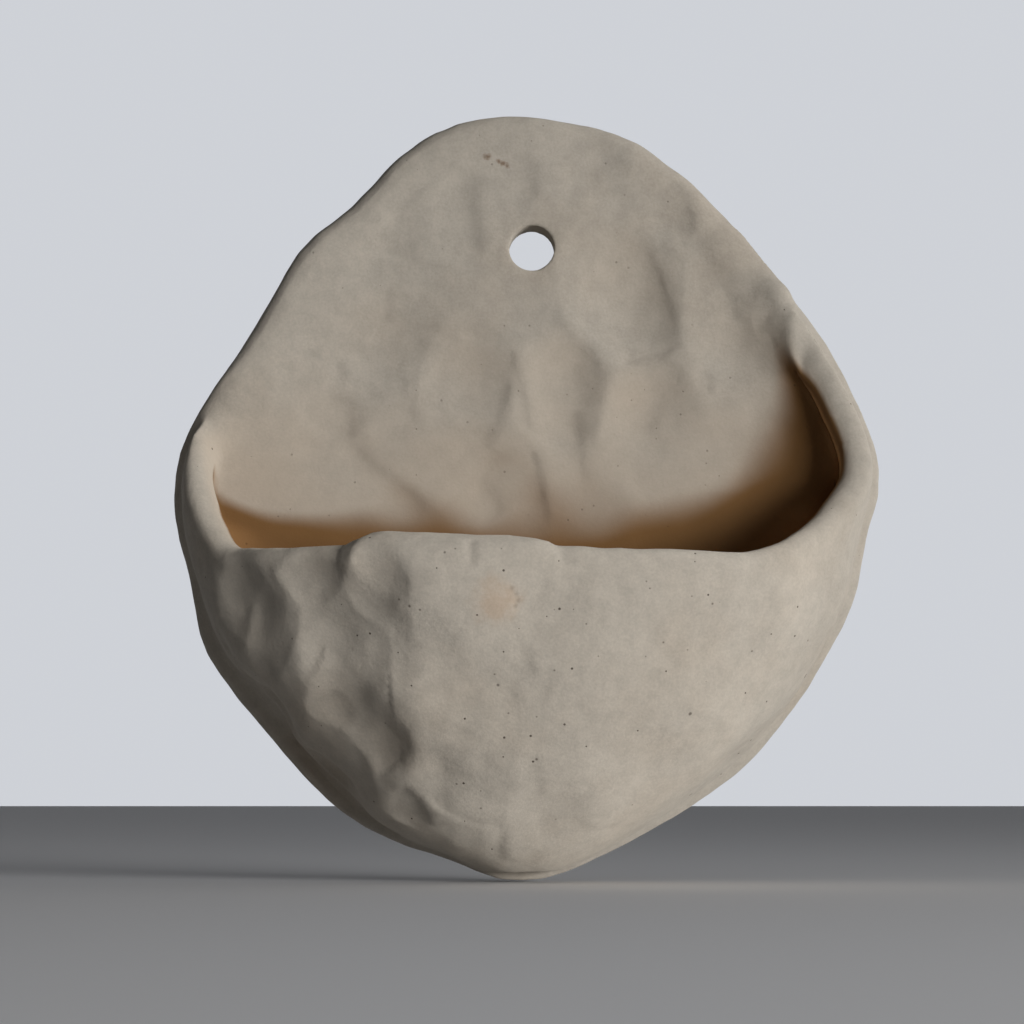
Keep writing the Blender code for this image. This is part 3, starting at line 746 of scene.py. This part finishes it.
def painted_shade_and_bounce(nodes, colours, colour):
    """Paint shade and warm bounce light where the pocket shelters the clay, less on the left side,
    more on the right.
    """
    shelter = nodes.attribute("shelter")
    # Painted bounce light, where the clay is a little sheltered
    painted_bounce = nodes.math("MULTIPLY", nodes.between(shelter, *PAINTED_BOUNCE_RANGE), 0.6)
    colour = nodes.mix(painted_bounce, colour, (*colours.painted_bounce, 1.0))
    # Painted shade where the clay is more sheltered, turning to painted warm bounce light where it
    # is most sheltered; less of it low on the left side, more on the right
    across, _, up = nodes.axes()
    left = nodes.math("MULTIPLY", nodes.between(across, *LEFT_SIDE, -0.22, 0.0),
                      nodes.between(up, *RIM_HEIGHT))
    right = nodes.between(across, *RIGHT_SIDE, 0.0, 0.1)
    painted_shade_amount = nodes.math("ADD", shelter, nodes.math("ADD", left, right))
    painted_deep_bounce = nodes.math("MULTIPLY", nodes.between(painted_shade_amount, *PAINTED_DEEP_BOUNCE_RANGE), 0.85)
    painted_shade = nodes.mix(painted_deep_bounce, (*colours.painted_shade, 1.0), (*colours.painted_deep_bounce, 1.0))
    return nodes.mix(nodes.between(painted_shade_amount, *PAINTED_SHADE_RANGE), colour, painted_shade)


def front_marks(nodes, colours, colour, clay):
    """The peach stain with its arc of dots, and the single specks."""
    *place, radius = STAIN
    stain = nodes.spot(touch(clay, *place)[0], radius, 1.8, 6.0, 420.0)
    colour = nodes.mix(nodes.math("MULTIPLY", stain, 0.35), colour, (*colours.stain, 1.0))
    for place in ARC:
        spot = nodes.spot(touch(clay, *place)[0], 0.25, 0.3, 0.4)
        colour = nodes.mix(nodes.math("MULTIPLY", spot, 0.25), colour, (*colours.speck, 1.0))
    for *place, radius in SPECKS:
        spot = nodes.spot(touch(clay, *place)[0], radius * 0.55, 0.12, 0.3)
        colour = nodes.mix(nodes.math("MULTIPLY", spot, 0.65), colour, (*colours.speck, 1.0))
    return colour


def slab_marks(nodes, colours, colour, clay):
    """The small brown mark over the hanging hole."""
    for *place, radius in BROWN_MARK:
        spot = nodes.spot(touch(clay, *place)[0], radius * 0.8, 0.3, 0.9, 1400.0)
        colour = nodes.mix(nodes.math("MULTIPLY", spot, 0.75), colour, (*colours.brown, 1.0))
    return colour


def bisque(name, settings, speckled):
    """Unglazed fired clay: chalky, sandy, with warm patches and iron specks, and painted shade and
    bounce light in the pocket.
    """
    sizes, colours = settings.sizes, settings.colours
    nodes = Nodes(name)
    # The painted shade and bounce light of the pocket go onto the clay's colour here
    colour = painted_shade_and_bounce(nodes, colours, fired_clay(nodes, colours))
    specks = nodes.math("MAXIMUM", nodes.specks(*FINE_SPECKS), nodes.specks(*COARSE_SPECKS))
    colour = nodes.mix(nodes.math("MULTIPLY", specks, speckled), colour, (*colours.speck, 1.0))
    marks = front_marks if speckled > SPECKLED_FRONT else slab_marks
    colour = marks(nodes, colours, colour, tree_of(bpy.data.meshes["wet_clay"]))
    nodes.link(colour, nodes.shader.inputs["Base Color"])
    nodes.shader.inputs["Roughness"].default_value = 0.92
    nodes.shader.inputs["Diffuse Roughness"].default_value = 0.6
    nodes.shader.inputs["Specular IOR Level"].default_value = 0.25
    lumps = nodes.math("MULTIPLY", nodes.noise(*LUMPS), 1.4)
    sand = nodes.math("ADD", nodes.noise(*SAND), lumps)
    grain = nodes.bump(sand, 1.0, sizes.grain)
    pits = nodes.bump(nodes.math("SUBTRACT", 1.0, specks), 0.6, sizes.pit, grain)
    nodes.link(pits, nodes.shader.inputs["Normal"])
    return nodes.material


def finish_piece(bm, name, node, settings):
    """Turn a cut of clay into a piece that rides on the body and stands for its solid."""
    mesh = bpy.data.meshes.new(name)
    bm.to_mesh(mesh)
    bm.free()
    mesh.shade_smooth()
    piece = bpy.data.objects.new(name, mesh)
    piece.data.materials.append(bisque(name + "_bisque", settings, SPECKLED[node]))
    bpy.context.scene.collection.objects.link(piece)
    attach(piece, "root")
    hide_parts(node)


def mark_faces(bm, seam, swelling):
    """Mark each face with its side of the seam and with what lies over it there."""
    side = bm.faces.layers.int.new("side")
    over = bm.faces.layers.int.new("over")
    trees = {}
    for node, mark in COVERS.items():
        copy = merged_copy(node, swelling)
        trees[mark] = BVHTree.FromBMesh(copy)
        copy.free()
    for face in bm.faces:
        middle = face.calc_center_median()
        face[side] = SLAB if middle.y > seam else POCKET
        near = [mark for mark, tree in trees.items()
                if tree.find_nearest(middle, NEAR_COVER)[0] is not None]
        face[over] = near[0] if near else BARE
    drop_hanging_corners(bm, over)


def drop_hanging_corners(bm, over):
    """Bare the faces where two parts of a cover meet in a corner only."""
    hanging = True
    while hanging:
        hanging = False
        for vertex in bm.verts:
            edges = [edge for edge in vertex.link_edges
                     if len({face[over] for face in edge.link_faces}) == 2]
            if len(edges) > 2:
                hanging = True
                for face in vertex.link_faces:
                    face[over] = BARE


def crumbs(bm, most):
    """The faces of all the loose bits that have no more faces than that."""
    seen, found = set(), []
    for start in bm.faces:
        if start in seen:
            continue
        bit, waiting = {start}, [start]
        while waiting:
            face = waiting.pop()
            for edge in face.edges:
                for other in edge.link_faces:
                    if other not in bit:
                        bit.add(other)
                        waiting.append(other)
        seen |= bit
        if len(bit) <= most:
            found.extend(bit)
    return found


def faces_of(layer, mark):
    """The faces with one mark, taken from the wet clay, without crumbs."""
    bm = bmesh.new()
    bm.from_mesh(bpy.data.meshes["wet_clay"])
    marks = bm.faces.layers.int[layer]
    others = [face for face in bm.faces if face[marks] != mark]
    bmesh.ops.delete(bm, geom=others, context="FACES")
    bmesh.ops.delete(bm, geom=crumbs(bm, CRUMB), context="FACES")
    return bm


def side_of_seam(side, skin):
    """One side of the seam: closed along the seam, and lowered under the lap and the coil."""
    bm = faces_of("side", side)
    over = bm.faces.layers.int["over"]
    visible = set(bm.faces)
    rim = [edge for edge in bm.edges if edge.is_boundary]
    for edge in rim:
        edge.smooth = False
    bm.normal_update()
    bmesh.ops.triangle_fill(bm, use_beauty=True, use_dissolve=False, edges=rim)
    bmesh.ops.recalc_face_normals(bm, faces=bm.faces)
    moves = []
    for vertex in bm.verts:
        marks = {face[over] != BARE for face in vertex.link_faces if face in visible}
        if True in marks:
            moves.append((vertex, vertex.normal * (TUCK if False in marks else skin + TUCK)))
    for vertex, move in moves:
        vertex.co -= move
    for edge in bm.edges:
        if len({face[over] != BARE for face in edge.link_faces}) == 2:
            edge.smooth = False
    return bm


def cover_of(mark, skin):
    """A lap or a coil smeared over the joint, as a thin piece of its own."""
    bm = faces_of("over", mark)
    bm.normal_update()
    outer = bm.faces[:]
    for edge in bm.edges:
        edge.smooth = not edge.is_boundary
    inner = bmesh.ops.extrude_face_region(bm, geom=outer, use_keep_orig=True)["geom"]
    under = [item for item in inner if isinstance(item, bmesh.types.BMVert)]
    moves = [vertex.normal * skin for vertex in under]
    for vertex, move in zip(under, moves):
        vertex.co -= move
    bmesh.ops.recalc_face_normals(bm, faces=bm.faces)
    return bm


class POCKET_OT_join_clay(Operator):
    """Join the wet pieces, and leave the fingertips' strokes, dishes, lips and grooves in them"""

    bl_idname = "wall_pocket.join_clay"
    bl_label = "Join and press the clay"

    def execute(self, context):
        sizes = context.scene.wall_pocket.sizes
        mesh = knead(sizes)
        seam = SLAB_FACE - sizes.swelling - SEAM_CLEARANCE
        bm = bmesh.new()
        bm.from_mesh(mesh)
        everything = bm.verts[:] + bm.edges[:] + bm.faces[:]
        bmesh.ops.bisect_plane(bm, geom=everything, dist=SAME_PLACE,
                               plane_co=(0.0, seam, 0.0), plane_no=TO_THE_WALL)
        mark_faces(bm, seam, sizes.swelling)
        bm.to_mesh(mesh)
        bm.free()
        clay = Clay(mesh)
        clay.place -= clay.out * sizes.swelling
        true_hole(clay, sizes.hole_radius)
        clay.settle()
        for stroke in WET_STROKES:
            clay.soothe(*stroke)
        copy = merged_copy("seam_coil", 0.0)
        clay.smear_joint(BVHTree.FromBMesh(copy), sizes.smear)
        copy.free()
        clay.settle()
        for height, *shape in BANKS:
            clay.bank(height * sizes.press, *shape)
        clay.settle()
        for stroke in LAST_STROKES:
            clay.soothe(*stroke, IN_AND_OUT)
        clay.settle()
        clay.dishes(SLAB_DISHES, sizes.press)
        clay.dishes(POCKET_DISHES, sizes.press)
        clay.settle()
        for rise, *shape in SLAB_LIPS + POCKET_LIPS:
            clay.lip(rise * sizes.press, *shape)
        clay.settle()
        for depth, *shape in GROOVES:
            clay.groove(depth * sizes.press, *shape)
        clay.settle()
        uneven(clay, sizes.wobble, sizes.hole_radius)
        flatten_back(clay)
        clay.settle()
        # The shelter is the mask of the painted shade and bounce light in the materials
        shelter = mesh.attributes.new("shelter", "FLOAT", "POINT")
        shelter.data.foreach_set("value", clay.shelter(sizes.hole_radius))
        return {"FINISHED"}


class POCKET_OT_take_slab(Operator):
    """Take the back slab from the wet clay"""

    bl_idname = "wall_pocket.take_slab"
    bl_label = "Back slab"

    def execute(self, context):
        settings = context.scene.wall_pocket
        bm = side_of_seam(SLAB, settings.sizes.skin)
        finish_piece(bm, "slab_clay", "back_slab", settings)
        return {"FINISHED"}


class POCKET_OT_take_pocket(Operator):
    """Take the front pocket from the wet clay"""

    bl_idname = "wall_pocket.take_pocket"
    bl_label = "Front pocket"

    def execute(self, context):
        settings = context.scene.wall_pocket
        bm = side_of_seam(POCKET, settings.sizes.skin)
        finish_piece(bm, "pocket_clay", "front_pocket", settings)
        return {"FINISHED"}


class POCKET_OT_take_lap(Operator):
    """Take the lap over the rim from the wet clay"""

    bl_idname = "wall_pocket.take_lap"
    bl_label = "Rim lap"

    def execute(self, context):
        settings = context.scene.wall_pocket
        bm = cover_of(LAP, settings.sizes.skin)
        finish_piece(bm, "lap_clay", "rim_lap", settings)
        return {"FINISHED"}


class POCKET_OT_take_coil(Operator):
    """Take the coil smeared into the joint from the wet clay"""

    bl_idname = "wall_pocket.take_coil"
    bl_label = "Seam coil"

    def execute(self, context):
        settings = context.scene.wall_pocket
        bm = cover_of(COIL, settings.sizes.skin)
        finish_piece(bm, "coil_clay", "seam_coil", settings)
        return {"FINISHED"}


def lay_floor(stage):
    """A plain pale floor that the pocket's lowest place just clears."""
    bm = bmesh.new()
    bmesh.ops.create_grid(bm, x_segments=1, y_segments=1, size=stage.floor_reach)
    bmesh.ops.translate(bm, verts=bm.verts, vec=(0.0, 0.0, SLAB_LOW - FLOOR_GAP))
    mesh = bpy.data.meshes.new("floor")
    bm.to_mesh(mesh)
    bm.free()
    paper = Nodes("floor_paper")
    paper.shader.inputs["Base Color"].default_value = (*stage.floor, 1.0)
    paper.shader.inputs["Roughness"].default_value = 0.9
    mesh.materials.append(paper.material)
    floor = bpy.data.objects.new("floor", mesh)
    bpy.context.scene.collection.objects.link(floor)


def hang_lamp(stage):
    """The soft lamp on the right."""
    lamp = bpy.data.lights.new("key_lamp", "AREA")
    lamp.energy = stage.key_power
    lamp.shape = "RECTANGLE"
    lamp.size = stage.key_width
    lamp.size_y = stage.key_height
    key = bpy.data.objects.new("key_lamp", lamp)
    key.location = stage.key_place
    aim = Vector(stage.key_target) - Vector(stage.key_place)
    key.rotation_euler = aim.to_track_quat("-Z", "Y").to_euler()
    bpy.context.scene.collection.objects.link(key)


def light_world(stage):
    """Dim even light on the clay, and a plain pale background behind it."""
    world = bpy.data.worlds.new("studio")
    bpy.context.scene.world = world
    world.use_nodes = True
    nodes, links = world.node_tree.nodes, world.node_tree.links
    even = nodes["Background"]
    even.inputs["Color"].default_value = (1.0, 1.0, 1.0, 1.0)
    even.inputs["Strength"].default_value = stage.fill
    seen = nodes.new("ShaderNodeBackground")
    seen.inputs["Color"].default_value = (*stage.background, 1.0)
    path = nodes.new("ShaderNodeLightPath")
    share = path.outputs["Is Camera Ray"]
    for kind in ("Is Glossy Ray", "Is Transmission Ray"):
        either = nodes.new("ShaderNodeMath")
        either.operation = "MAXIMUM"
        links.new(share, either.inputs[0])
        links.new(path.outputs[kind], either.inputs[1])
        share = either.outputs[0]
    mix = nodes.new("ShaderNodeMixShader")
    links.new(share, mix.inputs["Fac"])
    links.new(even.outputs[0], mix.inputs[1])
    links.new(seen.outputs[0], mix.inputs[2])
    links.new(mix.outputs[0], nodes["World Output"].inputs["Surface"])


def place_camera(stage):
    """The camera in front of the pocket, a little below it."""
    lens = bpy.data.cameras.new("camera")
    lens.lens = stage.lens
    lens.clip_start = 0.01
    camera = bpy.data.objects.new("camera", lens)
    back = Vector((0.0, -math.cos(stage.elevation), math.sin(stage.elevation)))
    camera.location = Vector(stage.target) + back * stage.distance
    camera.rotation_euler = (-back).to_track_quat("-Z", "Y").to_euler()
    bpy.context.scene.collection.objects.link(camera)
    bpy.context.scene.camera = camera


class POCKET_OT_set_stage(Operator):
    """Set the floor, the soft light, the background and the camera"""

    bl_idname = "wall_pocket.set_stage"
    bl_label = "Studio"

    def execute(self, context):
        stage = context.scene.wall_pocket.stage
        lay_floor(stage)
        hang_lamp(stage)
        light_world(stage)
        place_camera(stage)
        context.scene.view_settings.view_transform = "Standard"
        return {"FINISHED"}


class WallPocketSettings(PropertyGroup):
    """Everything that a user can change."""

    sizes: PointerProperty(type=ClaySizes, name="Sizes", description="Sizes of the clay")
    colours: PointerProperty(type=ClayColours, name="Colours", description="Colours of the clay")
    stage: PointerProperty(type=StageSettings, name="Studio", description="Camera, light and floor")


STEPS = (POCKET_OT_join_clay, POCKET_OT_take_slab, POCKET_OT_take_pocket, POCKET_OT_take_lap,
         POCKET_OT_take_coil, POCKET_OT_set_stage)


class POCKET_PT_panel(Panel):
    """Lists the steps and the settings"""

    bl_idname = "POCKET_PT_panel"
    bl_label = "Wall Pocket"
    bl_space_type = "VIEW_3D"
    bl_region_type = "UI"
    bl_category = "Wall Pocket"

    def draw(self, context):
        settings = context.scene.wall_pocket
        for group in (settings.sizes, settings.colours, settings.stage):
            box = self.layout.box()
            for name in group.__annotations__:
                box.prop(group, name)
        for step in STEPS:
            self.layout.operator(step.bl_idname)


CLASSES = (ClaySizes, ClayColours, StageSettings, WallPocketSettings, *STEPS, POCKET_PT_panel)


def register():
    for item in CLASSES:
        bpy.utils.register_class(item)
    bpy.types.Scene.wall_pocket = PointerProperty(
        type=WallPocketSettings, name="Wall pocket", description="Settings of the wall pocket")


def unregister():
    del bpy.types.Scene.wall_pocket
    for item in reversed(CLASSES):
        bpy.utils.unregister_class(item)


def main():
    register()
    bpy.ops.wall_pocket.join_clay()
    bpy.ops.wall_pocket.take_slab()
    bpy.ops.wall_pocket.take_pocket()
    bpy.ops.wall_pocket.take_lap()
    bpy.ops.wall_pocket.take_coil()
    bpy.ops.wall_pocket.set_stage()
    bpy.data.meshes.remove(bpy.data.meshes["wet_clay"])


if __name__ == "__main__":
    main()
